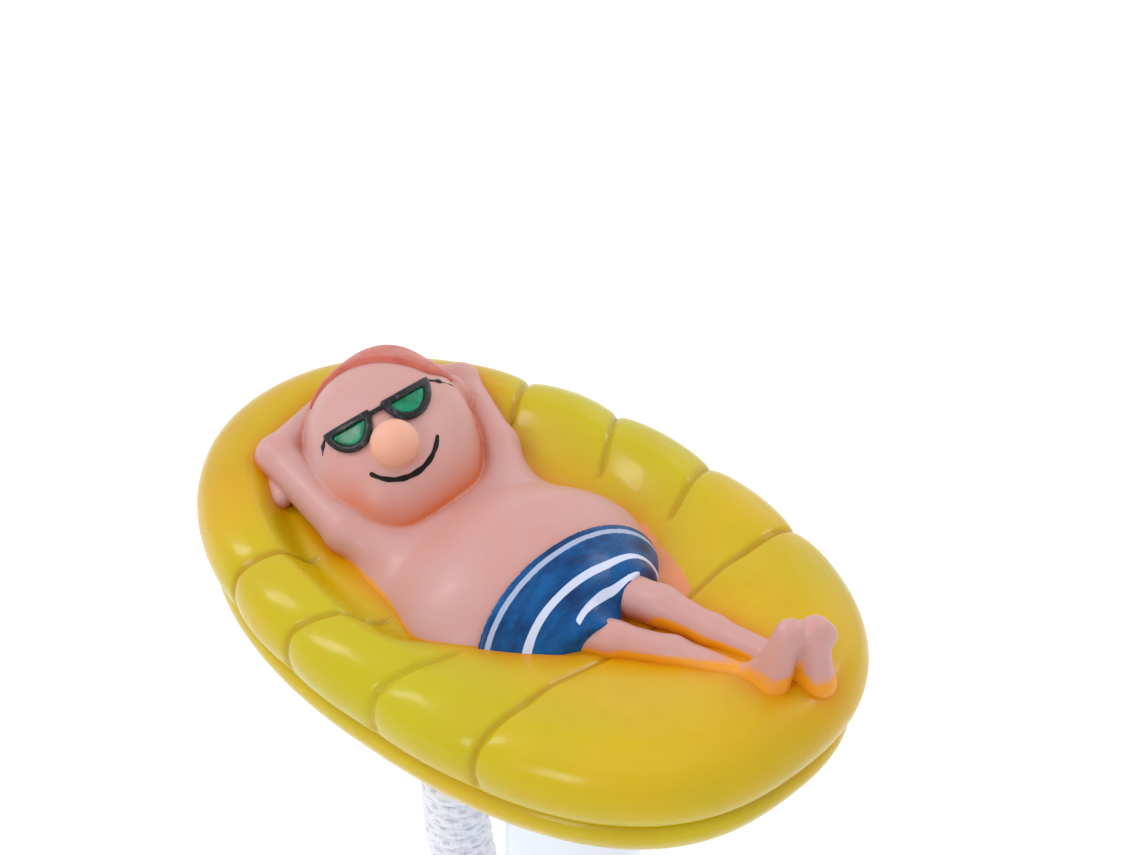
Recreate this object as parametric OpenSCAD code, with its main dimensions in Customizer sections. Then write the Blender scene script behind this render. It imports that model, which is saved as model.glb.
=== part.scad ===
// Floating pool thermometer: a hollow vinyl raft with a sunbather on it, a white
// immersion tube that turns in the raft's socket, and a wound tether cord.
// Millimetres, +Z up. The origin is on the tube's axis at the waterline.
// +X points from the tube to the sunbather's head, and the scale faces -Y.

/* [Float] */
// Length of the raft from foot end to head end
float_len = 126; // [120:1:134]
// Width of the raft
float_w = 81; // [76:1:88]
// Height of the raft's rim above its underside
float_h = 24.7; // [23:0.1:26]
// How deep the underside sits below the waterline
draught = 9; // [7:0.5:10]
// Distance from the tube's axis to the middle of the raft
float_offset = 12.5; // [11:0.5:14]
// How much the foot end rides higher than the middle
foot_rise = 2.1; // [0:0.1:2.5]
// Wall thickness of the vinyl casting
float_wall = 2; // [1.6:0.1:2.4]

/* [Tube] */
// Outer diameter of the immersion tube
tube_d = 22.6; // [22:0.1:23]
// Wall thickness of the tube
tube_wall = 1.5; // [1.2:0.1:1.6]
// Depth of the end cap's face below the raft's underside
immersion = 162; // [158:1:168]
// Height of the end cap's visible band
cap_h = 6.4; // [5:0.2:8]
// Diameter of the collar's flange under the raft
collar_d = 25; // [24:0.1:26]
// Thickness of the collar's flange
collar_h = 4.3; // [3:0.1:5]

/* [Window] */
// Width of the window
window_w = 11.4; // [10:0.2:12]
// Height of the window, round ends included
window_h = 88.5; // [86:0.5:90]
// Depth of the window's top edge below the raft's underside
window_drop = 33.5; // [33:0.5:35]
// How far the window is turned towards the head end, in degrees
window_turn = 6.5; // [0:0.5:12]

/* [Tether] */
// Diameter of the braided cord
cord_d = 2.7; // [2.4:0.1:3]
// Diameter of the wound bundle
hank_d = 11.8; // [11:0.1:12]

/* [Hidden] */
under = -draught;
running = 0.05;

// Tube heights
collar_top = under - 0.8;
tube_top = collar_top - collar_h;
cap_face = under - immersion;
tube_low = cap_face + cap_h;
tube_r = tube_d / 2;
bore_r = tube_r - tube_wall;
collar_skirt = 9;
cap_skirt = 6;
seal_r = 0.68;
seam_h = 1.2;
seam_depth = 0.3;

// Collar spigot that snaps into the raft's socket
spigot_r = 8;
spigot_h = 10.6;
bead_r = 8.7;
bead_z = 7;
bead_h = 2;
socket_r = 10.6;
socket_h = 12.4;

// Window
window_r = window_w / 2;
window_top = under - window_drop;
window_mid = window_top - window_h / 2;
surround = 2;
surround_depth = 0.35;
lens_lip = 1.8;

// Temperature scale: height of 0 degrees Celsius and rise per degree
zero_z = under - 116.5;
per_degree = 1.37;
reading = 21;
spirit_z = zero_z + reading * per_degree;

// Glass thermometer in front of the scale plate
plate_w = 14.6;
plate_t = 0.8;
plate_front = -3;
plate_low = cap_face + 28.4;
plate_top = window_top + 5;
glass_y = -5.6;
stem_r = 2;
stem_bore_r = 0.45;
spirit_r = 0.4;
bulb_r = 2.5;
bulb_low = cap_face + 27.6;
bulb_h = 11;
holder_h = 5;
ballast_h = 13;
ballast_low = tube_low + cap_skirt + 0.2;

// Tether: the route from the knot through the lug and down to the hank
lug_x = 33.5;
lug_z = under - 5;
TETHER = [
    [40, 0, -14], [37, 0, -14], [34, 0, -14], [31, 0, -14], [28.5, 0, -14.2], [26, 0, -15],
    [23.8, 0, -16.8], [22.2, 0, -19.2], [21.2, 0, -22.5], [20.7, 0, -26], [20.7, 0, -30],
    [21, 0, -34], [21.8, 0, -38], [22.9, 0, -42], [24.2, 0, -45.2], [25.6, 0, -48]
];
HANK = [[29.4, -41], [28.8, -50], [28.2, -59], [26.6, -67], [24, -75.5], [20.8, -82], [18.8, -88]];

VINYL_YELLOW = [0.86, 0.74, 0.05];
SKIN = [0.93, 0.68, 0.62];
ROYAL_BLUE = [0.03, 0.2, 0.6];
TUBE_WHITE = [0.9, 0.92, 0.97];
CORD_WHITE = [0.93, 0.93, 0.95];

// --- Raft ---------------------------------------------------------------

// The head end is rounder than the foot end
head_squareness = 2.09;
foot_squareness = 2.47;
around = 48;
// Profile of the casting: distance in from the rim's widest line, height above the underside
RIM = [
    [30, 0], [17, 0.2], [10.5, 1], [6.2, 3.2], [3.4, 5.6], [2.2, 8.3], [2.5, 10], [3.3, 11],
    [2, 12], [0.5, 14], [0, 17], [0.6, 19.8], [2.6, 22.4], [6, 24.2], [10, 24.7], [14, 24.2],
    [18, 22.6], [21.5, 21], [30, 20.4]
];
CAVITY = [[30, 2], [15, 2.2], [7, 5.4], [4.6, 9], [3.4, 16], [6, 20.6], [12, 21.6], [20, 18.6], [30, 18.2]];
// Where the rim is pinched, as distance from the middle of the raft
PINCHES = [-24.5, -2, 19.5, 37];

function power(angle) = 2 / (cos(angle) > 0 ? head_squareness : foot_squareness);
function corner(v, angle) = sign(v) * pow(abs(v), power(angle));
function rise(x) = -foot_rise * (x - float_offset) / (float_len / 2);
function pinch(x, height) =
    height < 11.5 ? 0 : max([for (p = PINCHES) exp(-pow((x - float_offset - p) / 1.5, 2))]);
function rim_point(angle, inset, height) =
    let (x = float_offset + (float_len / 2 - inset) * corner(cos(angle), angle))
    let (y = (float_w / 2 - inset) * corner(sin(angle), angle))
    let (tuck = 1 - 0.018 * pinch(x, height))
    [float_offset + (x - float_offset) * tuck, y * tuck, under + height * float_h / 24.7 + rise(x)];
function loops(profile) =
    [for (p = profile, i = [0:around - 1]) rim_point(i * 360 / around, p[0], p[1])];
function band(row) =
    [for (i = [0:around - 1])
        let (j = (i + 1) % around)
        [row * around + i, (row + 1) * around + i, (row + 1) * around + j, row * around + j]];
function skin_faces(rows) = concat(
    [[for (i = [0:around - 1]) i]],
    [for (row = [0:rows - 2]) each band(row)],
    [[for (i = [around - 1:-1:0]) (rows - 1) * around + i]]
);

module oval_skin(profile) {
    polyhedron(points = loops(profile), faces = skin_faces(len(profile)), convexity = 6);
}

module float_raft() {
    color(VINYL_YELLOW)
    difference() {
        union() {
            difference() {
                oval_skin(RIM);
                oval_skin(CAVITY);
            }
            translate([0, 0, under - 0.6]) cylinder(r = socket_r, h = socket_h + 0.6, $fn = 64);
        }
        translate([0, 0, under - 2]) cylinder(r = spigot_r + running, h = 20, $fn = 64);
        translate([0, 0, under + bead_z - 0.1]) cylinder(r = bead_r + running, h = bead_h + 0.2, $fn = 64);
    }
}

// --- Sunbather ----------------------------------------------------------

HEAD = [45, -0.5, 13];
HEAD_SIZE = [20, 15, 14.5];
// The crown is raised and turned to the sunbather's left
HEAD_TURN = [0, -8, -39];
NOSE = [37.3, 5.9, 25.2];
SHOULDERS = [[36, 16, 12], [31, -13, 12]];
ELBOWS = [[57.5, 13.5, 13.5], [52, -23, 13.5]];
HANDS = [[61.5, 4, 13], [60.5, -12, 13]];
HIPS = [[-6, 8, 13.6], [-5, -4, 13.6]];
KNEES = [[-23, 5, 15.4], [-23, -4.4, 16]];
HEELS = [[-38.2, -0.8, 17.2], [-41.2, -7.4, 17.2]];
TOES = [[-40.2, -5.4, 26], [-42.4, -9.4, 26]];
LENSES = [[47.3, 7.5, 24.7], [44.3, -2.7, 27.3]];
bed = under + 20.4;

module ball(at, r) {
    translate(at) sphere(r = r, $fn = 20);
}

module limb(from, to, r1, r2) {
    hull() {
        ball(from, r1);
        ball(to, r2);
    }
}

module egg(at, size) {
    translate(at) scale(size) sphere(r = 1, $fn = 32);
}

module torso() {
    hull() {
        egg([11, 3, 6], [14, 20.5, 16]);
        egg([22, 3, 6], [13, 19, 13]);
        egg([31, 1.5, 8], [7, 16, 8.5]);
    }
}

module head() {
    translate(HEAD) rotate(HEAD_TURN) scale(HEAD_SIZE) sphere(r = 1, $fn = 40);
    egg(NOSE, [4, 4, 4]);
    egg([48, -17, 16], [3.4, 1.8, 3.8]);
}

module arms() {
    for (side = [0, 1]) {
        limb(SHOULDERS[side], ELBOWS[side], 4.6, 3.9);
        limb(ELBOWS[side], HANDS[side], 3.9, 3.4);
    }
}

module legs() {
    for (side = [0, 1]) {
        limb(HIPS[side], KNEES[side], 4, 3);
        limb(KNEES[side], HEELS[side], 3, 2.6);
        limb(HEELS[side] - [0.6, 0, 0], TOES[side], 2.8, 2.6);
    }
}

module above_bed() {
    translate([0, 0, bed + 50]) cube([200, 200, 100], center = true);
}

module trunks_shape() {
    hull() {
        egg([2.5, 3, 6], [8.5, 20, 15.6]);
        egg([-6, 4.5, 8], [6.5, 14, 10]);
    }
}

module sunbather_body() {
    color(SKIN)
    intersection() {
        union() {
            difference() {
                torso();
                trunks_shape();
            }
            head();
            arms();
            legs();
        }
        above_bed();
    }
}

module swim_trunks() {
    color(ROYAL_BLUE)
    intersection() {
        difference() {
            trunks_shape();
            legs();
        }
        above_bed();
    }
}

module sunbather_hair() {
    color([0.87, 0.45, 0.38])
    intersection() {
        difference() {
            egg([54.4, -6, 13.5], [12, 13.2, 14.2]);
            head();
            arms();
            for (at = LENSES) on_face(at) lens_blank(5.6, 8);
        }
        above_bed();
    }
}

// Stands its children on the face at a lens, pointing straight out of the head
module on_face(at) {
    out = at - HEAD;
    translate(at) rotate([0, acos(out[2] / norm(out)), atan2(out[1], out[0])]) children();
}

module lens_blank(r, h) {
    translate([0, 0, -2]) cylinder(r = r, h = h + 2, $fn = 32);
}

module sunglasses_frame() {
    color([0.08, 0.08, 0.1])
    difference() {
        union() {
            for (at = LENSES) on_face(at) lens_blank(5, 1.6);
            limb(LENSES[0] + [-0.6, -3, 2.1], LENSES[1] + [0.6, 3, 0.5], 1.1, 1.1);
        }
        for (at = LENSES) on_face(at) translate([0, 0, -4]) lens_blank(4, 12);
        head();
    }
}

module sunglasses_lenses() {
    color([0.02, 0.4, 0.28])
    difference() {
        for (at = LENSES) on_face(at) lens_blank(4, 1.1);
        head();
    }
}

// --- Tether -------------------------------------------------------------

module tether_lug() {
    color(VINYL_YELLOW)
    difference() {
        translate([lug_x, 0, (lug_z - 3.4 + under) / 2 - 0.3])
            cube([4, 7, under - lug_z + 3.4 - 0.9], center = true);
        translate([lug_x, 0, lug_z]) rotate([0, 90, 0]) cylinder(r = 1.7, h = 20, center = true, $fn = 32);
    }
}

module tether_knot() {
    color(CORD_WHITE)
    union() {
        translate(TETHER[0] + [2.6, 0, 0]) sphere(r = 3, $fn = 32);
        translate(TETHER[0] + [4, 0, 0]) rotate([0, 96, 0]) cylinder(d = cord_d, h = 8, $fn = 24);
    }
}

sides = 8;
function unit(v) = v / norm(v);
function heading(path, i) = unit(path[min(i + 1, len(path) - 1)] - path[max(i - 1, 0)]);
function tube_ring(path, i, r) =
    let (t = heading(path, i))
    let (n = unit(cross([0, 1, 0], t)))
    [for (k = [0:sides - 1]) path[i] + r * (cos(k * 360 / sides) * n + sin(k * 360 / sides) * [0, 1, 0])];

module swept_cord(path, r) {
    last = len(path) - 1;
    polyhedron(
        points = [for (i = [0:last]) each tube_ring(path, i, r)],
        faces = concat(
            [[for (k = [0:sides - 1]) k]],
            [for (i = [0:last - 1], k = [0:sides - 1])
                let (next = (k + 1) % sides)
                [i * sides + k, (i + 1) * sides + k, (i + 1) * sides + next, i * sides + next]],
            [[for (k = [sides - 1:-1:0]) last * sides + k]]
        )
    );
}

module tether_cord() {
    color(CORD_WHITE) swept_cord(TETHER, cord_d / 2);
}

module tether_hank() {
    color(CORD_WHITE)
    rotate([90, 0, 0])
    translate([0, 0, -hank_d / 2])
    linear_extrude(height = hank_d)
    hank_outline();
}

function hank_r(i) = i < len(HANK) - 2 ? hank_d / 2 - 0.6 : hank_d / 2 - 1.6;

module hank_outline() {
    for (i = [0:len(HANK) - 2]) {
        hull() {
            translate(HANK[i]) circle(r = hank_r(i), $fn = 32);
            translate(HANK[i + 1]) circle(r = hank_r(i + 1), $fn = 32);
        }
    }
}

// --- Tube ---------------------------------------------------------------

module facing_window() {
    rotate([0, 0, window_turn]) children();
}

module slot_prism(w, h) {
    translate([0, 0, window_mid])
    rotate([90, 0, 0])
    linear_extrude(height = 20)
    union() {
        square([w, h - w], center = true);
        for (side = [-1, 1]) translate([0, side * (h - w) / 2]) circle(d = w, $fn = 64);
    }
}

module shell(r_out, r_in) {
    translate([0, 0, window_mid])
    difference() {
        cylinder(r = r_out, h = window_h + 20, center = true, $fn = 96);
        cylinder(r = r_in, h = window_h + 30, center = true, $fn = 96);
    }
}

module neck_collar() {
    bead_low = collar_top + 0.8 + bead_z;
    color(ROYAL_BLUE)
    rotate_extrude($fn = 96)
    polygon([
        [0, tube_top - 2], [bore_r - 2.6, tube_top - 2], [bore_r - 2.6, tube_top - collar_skirt],
        [bore_r - 0.02, tube_top - collar_skirt], [bore_r - 0.02, tube_top - 6],
        [bore_r - 1.4, tube_top - 6], [bore_r - 1.4, tube_top - 4], [bore_r - 0.02, tube_top - 4],
        [bore_r - 0.02, tube_top], [collar_d / 2 - 0.5, tube_top], [collar_d / 2, tube_top + 0.5],
        [collar_d / 2, collar_top - 0.4], [collar_d / 2 - 0.4, collar_top], [spigot_r, collar_top],
        [spigot_r, bead_low], [bead_r, bead_low + 0.4], [bead_r, bead_low + bead_h - 0.6],
        [spigot_r, bead_low + bead_h], [spigot_r, collar_top + spigot_h - 0.6],
        [spigot_r - 0.6, collar_top + spigot_h], [0, collar_top + spigot_h]
    ]);
}

module o_ring(at) {
    translate([0, 0, at])
    rotate_extrude($fn = 96)
    translate([bore_r - 0.71, 0]) circle(r = seal_r, $fn = 32);
}

module neck_seal() {
    color("dimgray") o_ring(tube_top - 5);
}

// Shallow groove all round, where the end cap meets the tube
module seam_groove() {
    translate([0, 0, tube_low - 1])
    difference() {
        cylinder(r = tube_r + 1, h = 1 + seam_h, $fn = 96);
        translate([0, 0, -1]) cylinder(r = tube_r - seam_depth, h = 3 + seam_h, $fn = 96);
    }
}

module immersion_tube() {
    color(TUBE_WHITE)
    difference() {
        translate([0, 0, tube_low]) cylinder(r = tube_r, h = tube_top - tube_low, $fn = 96);
        seam_groove();
        translate([0, 0, tube_low - 1]) cylinder(r = bore_r, h = tube_top - tube_low + 2, $fn = 96);
        facing_window() slot_prism(window_w, window_h);
        intersection() {
            facing_window() slot_prism(window_w + 2 * surround, window_h + 2 * surround);
            shell(tube_r + 2, tube_r - surround_depth);
        }
    }
}

module window_lens() {
    color([0.75, 0.8, 0.86, 0.4])
    union() {
        intersection() {
            facing_window() slot_prism(window_w - 0.1, window_h - 0.1);
            shell(tube_r - surround_depth, bore_r - 0.5);
        }
        intersection() {
            facing_window() slot_prism(window_w + 2 * lens_lip, window_h + 2 * lens_lip);
            shell(bore_r - 0.02, bore_r - 0.9);
        }
    }
}

module end_cap() {
    color(ROYAL_BLUE)
    rotate_extrude($fn = 96)
    polygon([
        [0, cap_face], [tube_r - 2.4, cap_face], [tube_r - 1.2, cap_face + 0.4],
        [tube_r - 0.4, cap_face + 1.2], [tube_r, cap_face + 2.6], [tube_r, tube_low],
        [bore_r - 0.02, tube_low], [bore_r - 0.02, tube_low + 2], [bore_r - 1.4, tube_low + 2],
        [bore_r - 1.4, tube_low + 4], [bore_r - 0.02, tube_low + 4], [bore_r - 0.02, tube_low + cap_skirt],
        [bore_r - 2.6, tube_low + cap_skirt], [bore_r - 2.6, tube_low - 2], [0, tube_low - 2]
    ]);
}

module cap_seal() {
    color("dimgray") o_ring(tube_low + 3);
}

// --- Inside the tube ----------------------------------------------------

module plate_blank(grow) {
    translate([-plate_w / 2 - grow, plate_front - grow, plate_low])
        cube([plate_w + 2 * grow, plate_t + 2 * grow, plate_top - plate_low]);
}

module stem_blank(r) {
    translate([0, glass_y, bulb_low]) cylinder(r = r, h = window_top + 3.5 - bulb_low, $fn = 48);
}

module scale_plate() {
    color("gainsboro") facing_window() plate_blank(0);
}

module glass_thermometer() {
    color([0.8, 0.86, 0.9, 0.5])
    facing_window()
    translate([0, glass_y, 0])
    rotate_extrude($fn = 48)
    polygon([
        [0, bulb_low], [bulb_r - 0.8, bulb_low + 0.2], [bulb_r, bulb_low + 1.4],
        [bulb_r, bulb_low + bulb_h - 2], [stem_r, bulb_low + bulb_h], [stem_r, window_top + 2.6],
        [stem_r - 0.8, window_top + 3.4], [0, window_top + 3.4], [0, window_top + 1],
        [stem_bore_r, window_top + 1], [stem_bore_r, bulb_low + bulb_h],
        [bulb_r - 0.7, bulb_low + bulb_h - 2.4],
        [bulb_r - 0.7, bulb_low + 1.6], [0, bulb_low + 1]
    ]);
}

module bulb_spirit() {
    color([0.05, 0.35, 0.6])
    facing_window()
    translate([0, glass_y, 0])
    rotate_extrude($fn = 48)
    polygon([
        [0, bulb_low + 1.1], [bulb_r - 0.8, bulb_low + 1.7], [bulb_r - 0.8, bulb_low + bulb_h - 2.5],
        [spirit_r, bulb_low + bulb_h - 0.1], [0, bulb_low + bulb_h - 0.1]
    ]);
}

module spirit_column() {
    color([0.05, 0.35, 0.6])
    facing_window()
    translate([0, glass_y, bulb_low + bulb_h - 0.1])
    cylinder(r = spirit_r, h = spirit_z - bulb_low - bulb_h + 0.1, $fn = 24);
}

module spirit_meniscus() {
    color([0.05, 0.35, 0.6])
    facing_window()
    translate([0, glass_y, spirit_z]) cylinder(r = spirit_r, h = 0.8, $fn = 24);
}

module plate_holder(low) {
    difference() {
        translate([0, 0, low]) cylinder(r = bore_r - 0.05, h = holder_h, $fn = 96);
        facing_window() plate_blank(0.05);
        children();
    }
}

module plate_holder_upper() {
    color("whitesmoke") plate_holder(plate_top - 3) facing_window() stem_blank(stem_r + 0.1);
}

module plate_holder_lower() {
    color("whitesmoke") plate_holder(plate_low - 2) facing_window() stem_blank(bulb_r + 0.1);
}

module stem_clip(at) {
    color("silver")
    facing_window()
    difference() {
        union() {
            translate([0, glass_y, at]) cylinder(r = stem_r + 0.6, h = 1.6, $fn = 48);
            translate([-4.6, plate_front - 0.62, at]) cube([9.2, 0.6, 1.6]);
        }
        stem_blank(stem_r + 0.03);
    }
}

module stem_clip_upper() {
    stem_clip(window_top - 0.5);
}

module stem_clip_lower() {
    stem_clip(window_top - window_h - 1.2);
}

module ballast_weight() {
    color("slategray")
    translate([0, 0, ballast_low]) cylinder(r = bore_r - 0.3, h = ballast_h, $fn = 64);
}

float_raft();
sunbather_body();
sunbather_hair();
swim_trunks();
sunglasses_frame();
sunglasses_lenses();
tether_lug();
tether_knot();
tether_cord();
tether_hank();
neck_collar();
neck_seal();
immersion_tube();
window_lens();
end_cap();
cap_seal();
scale_plate();
plate_holder_upper();
plate_holder_lower();
glass_thermometer();
stem_clip_upper();
stem_clip_lower();
bulb_spirit();
spirit_column();
spirit_meniscus();
ballast_weight();
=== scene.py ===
"""Looks of a floating pool thermometer: a vinyl raft with a sunbather, a windowed tube and a wound tether.

Lengths below are in millimetres in the part's own frame, and become metres where a mesh is made.
"""

import math

import bpy
import numpy as np
import openvdb
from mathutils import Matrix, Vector


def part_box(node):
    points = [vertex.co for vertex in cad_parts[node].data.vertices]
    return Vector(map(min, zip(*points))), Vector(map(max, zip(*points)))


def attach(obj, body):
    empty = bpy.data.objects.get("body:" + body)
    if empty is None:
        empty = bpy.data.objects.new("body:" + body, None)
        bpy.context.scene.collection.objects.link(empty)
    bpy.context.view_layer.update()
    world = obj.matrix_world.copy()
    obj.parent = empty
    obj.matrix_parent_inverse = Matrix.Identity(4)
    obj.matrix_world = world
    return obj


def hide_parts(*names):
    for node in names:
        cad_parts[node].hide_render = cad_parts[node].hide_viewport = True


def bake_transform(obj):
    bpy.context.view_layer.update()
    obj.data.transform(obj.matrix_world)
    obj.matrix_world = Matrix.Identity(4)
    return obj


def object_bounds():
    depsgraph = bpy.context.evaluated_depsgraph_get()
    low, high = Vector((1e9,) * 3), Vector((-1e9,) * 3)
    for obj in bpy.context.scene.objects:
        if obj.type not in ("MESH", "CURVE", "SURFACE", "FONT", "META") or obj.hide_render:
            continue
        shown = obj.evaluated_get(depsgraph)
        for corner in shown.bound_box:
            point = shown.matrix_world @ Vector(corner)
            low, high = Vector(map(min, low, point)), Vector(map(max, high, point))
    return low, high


MM = 0.001
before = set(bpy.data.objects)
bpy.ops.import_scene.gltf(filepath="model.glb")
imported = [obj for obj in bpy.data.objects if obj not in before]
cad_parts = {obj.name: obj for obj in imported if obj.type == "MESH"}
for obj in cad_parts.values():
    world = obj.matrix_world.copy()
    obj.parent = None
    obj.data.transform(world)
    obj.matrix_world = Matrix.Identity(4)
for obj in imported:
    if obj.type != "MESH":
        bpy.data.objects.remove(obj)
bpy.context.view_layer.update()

# --- Places taken from the frame -------------------------------------------------


def box_mm(node):
    lo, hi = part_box(node)
    return np.array(lo) / MM, np.array(hi) / MM


RAFT_LO, RAFT_HI = box_mm("float_raft")
# How deep the raft sits, from its underside to the water
DRAUGHT = 9.0
HALF_LENGTH = (RAFT_HI[0] - RAFT_LO[0]) / 2
HALF_WIDTH = (RAFT_HI[1] - RAFT_LO[1]) / 2
# The middle of the raft's underside. The raft and the sunbather are placed from here.
BASE = np.array([(RAFT_HI[0] + RAFT_LO[0]) / 2, 0.0, -DRAUGHT])


# Where the sunbather lies, from the middle of the raft
FIGURE_SHIFT = np.array([-1.2, -1.0, 0.0])


def on_raft(*place):
    return BASE + FIGURE_SHIFT + np.array(place, float)


# --- Small tools -----------------------------------------------------------------


def mesh_object(name, verts_mm, faces, smooth=True):
    mesh = bpy.data.meshes.new(name)
    mesh.from_pydata((np.asarray(verts_mm) * MM).tolist(), [], np.asarray(faces).tolist())
    mesh.validate()
    if smooth:
        mesh.shade_smooth()
    piece = bpy.data.objects.new(name, mesh)
    bpy.context.collection.objects.link(piece)
    return piece


def paint(piece, **values):
    """Stores one number per vertex under each name, for the piece's material to read."""
    for name, numbers in values.items():
        layer = piece.data.attributes.new(name, "FLOAT", "POINT")
        layer.data.foreach_set("value", np.clip(numbers, 0, 1).astype(np.float32))


def vertices_mm(piece):
    flat = np.empty(len(piece.data.vertices) * 3, np.float32)
    piece.data.vertices.foreach_get("co", flat)
    return flat.reshape(-1, 3).astype(float) / MM


def normals_of(piece):
    flat = np.empty(len(piece.data.vertices) * 3, np.float32)
    piece.data.vertex_normals.foreach_get("vector", flat)
    return flat.reshape(-1, 3).astype(float)


def unit(v):
    v = np.asarray(v, float)
    return v / np.linalg.norm(v)


def smooth_step(x, low, high):
    t = np.clip((x - low) / (high - low), 0, 1)
    return t * t * (3 - 2 * t)


def spline(points, count):
    """A smooth open curve through points, as count points evenly spaced along it."""
    p = np.asarray(points, float)
    p = np.vstack([2 * p[0] - p[1], p, 2 * p[-1] - p[-2]])
    out = []
    t = np.linspace(0, 1, 24, endpoint=False)[:, None]
    for a, b, c, d in zip(p[:-3], p[1:-2], p[2:-1], p[3:]):
        out.append(0.5 * (
            2 * b + (c - a) * t + (2 * a - 5 * b + 4 * c - d) * t**2
            + (3 * b - a - 3 * c + d) * t**3
        ))
    out.append(p[-2][None])
    return resample(np.vstack(out), count)


def resample(line, count):
    along = np.concatenate([[0], np.cumsum(np.linalg.norm(np.diff(line, axis=0), axis=1))])
    wanted = np.linspace(0, along[-1], count)
    return np.stack([np.interp(wanted, along, line[:, k]) for k in range(line.shape[1])], 1)


# --- Camera ----------------------------------------------------------------------

CAMERA_AZIMUTH = 225.0
CAMERA_ELEVATION = 41.0
CAMERA_DISTANCE = 900.0
CAMERA_LENS = 174.2
# The aim sits right of and above the raft's middle, at half the raft's height
AIM_RIGHT = 8.3
AIM_UP = 25.7
AIM_HEIGHT = 15.5


def make_camera():
    azimuth, elevation = math.radians(CAMERA_AZIMUTH), math.radians(CAMERA_ELEVATION)
    back = Vector((
        math.sin(azimuth) * math.cos(elevation),
        -math.cos(azimuth) * math.cos(elevation),
        math.sin(elevation),
    ))
    turn = (-back).to_track_quat("-Z", "Y")
    right, up = turn @ Vector((1, 0, 0)), turn @ Vector((0, 1, 0))
    aim = Vector(BASE + (0, 0, AIM_HEIGHT)) + right * AIM_RIGHT + up * AIM_UP
    data = bpy.data.cameras.new("camera")
    data.lens = CAMERA_LENS
    data.clip_start, data.clip_end = 0.05, 20
    camera = bpy.data.objects.new("camera", data)
    camera.rotation_mode = "QUATERNION"
    camera.rotation_quaternion = turn
    camera.location = (aim + back * CAMERA_DISTANCE) * MM
    bpy.context.collection.objects.link(camera)
    bpy.context.scene.camera = camera
    return np.array(right), np.array(up), np.array(back)


# --- Materials -------------------------------------------------------------------


def tint(red, green, blue):
    """A colour given as it looks on a screen, 0 to 255, as the linear colour a shader takes."""
    c = np.array([red, green, blue]) / 255
    linear = np.where(c <= 0.04045, c / 12.92, ((c + 0.055) / 1.055) ** 2.4)
    return (*linear.tolist(), 1.0)


class Material:
    """A Principled material, and short ways to build what feeds it."""

    def __init__(self, name, **sockets):
        self.data = bpy.data.materials.new(name)
        self.data.use_nodes = True
        self.tree = self.data.node_tree
        self.shader = self.tree.nodes["Principled BSDF"]
        for socket, value in sockets.items():
            self.shader.inputs[socket.replace("_", " ")].default_value = value

    def node(self, kind, inputs=None, **settings):
        made = self.tree.nodes.new("ShaderNode" + kind)
        for key, value in settings.items():
            setattr(made, key, value)
        for key, value in (inputs or {}).items():
            self.feed(made.inputs[key], value)
        return made

    def feed(self, socket, value):
        if isinstance(value, bpy.types.NodeSocket):
            self.tree.links.new(value, socket)
        else:
            socket.default_value = value

    def colour(self, value):
        self.feed(self.shader.inputs["Base Color"], value)

    def place(self):
        """Position on the piece in metres."""
        return self.node("TexCoord").outputs["Object"]

    def painted(self, name):
        return self.node("Attribute", attribute_name=name).outputs["Fac"]

    def noise(self, scale, detail=3.0, roughness=0.5, stretch=None):
        where = self.place()
        if stretch:
            where = self.node("VectorMath", {0: where, 1: stretch}, operation="MULTIPLY").outputs[0]
        return self.node("TexNoise", {"Vector": where, "Scale": scale, "Detail": detail,
                                      "Roughness": roughness}).outputs["Fac"]

    def ramp(self, value, low, high, to_low=0.0, to_high=1.0):
        return self.node("MapRange", {"Value": value, "From Min": low, "From Max": high,
                                      "To Min": to_low, "To Max": to_high},
                         interpolation_type="SMOOTHSTEP").outputs[0]

    def maths(self, operation, a, b=0.0):
        return self.node("Math", {0: a, 1: b}, operation=operation).outputs[0]

    def along(self, direction):
        """How far a place is along a direction, in metres."""
        inputs = {0: self.place(), 1: tuple(direction)}
        return self.node("VectorMath", inputs, operation="DOT_PRODUCT").outputs["Value"]

    def mix(self, factor, a, b):
        made = self.node("Mix", data_type="RGBA")
        self.feed(made.inputs[0], factor)
        self.feed(made.inputs[6], a)
        self.feed(made.inputs[7], b)
        return made.outputs[2]

    def roughness(self, low, high, scale):
        self.feed(self.shader.inputs["Roughness"], self.ramp(self.noise(scale, 4), 0.35, 0.65, low, high))

    def bump(self, height, strength, distance):
        made = self.node("Bump", {"Height": height, "Strength": strength, "Distance": distance})
        self.feed(self.shader.inputs["Normal"], made.outputs[0])


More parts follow.
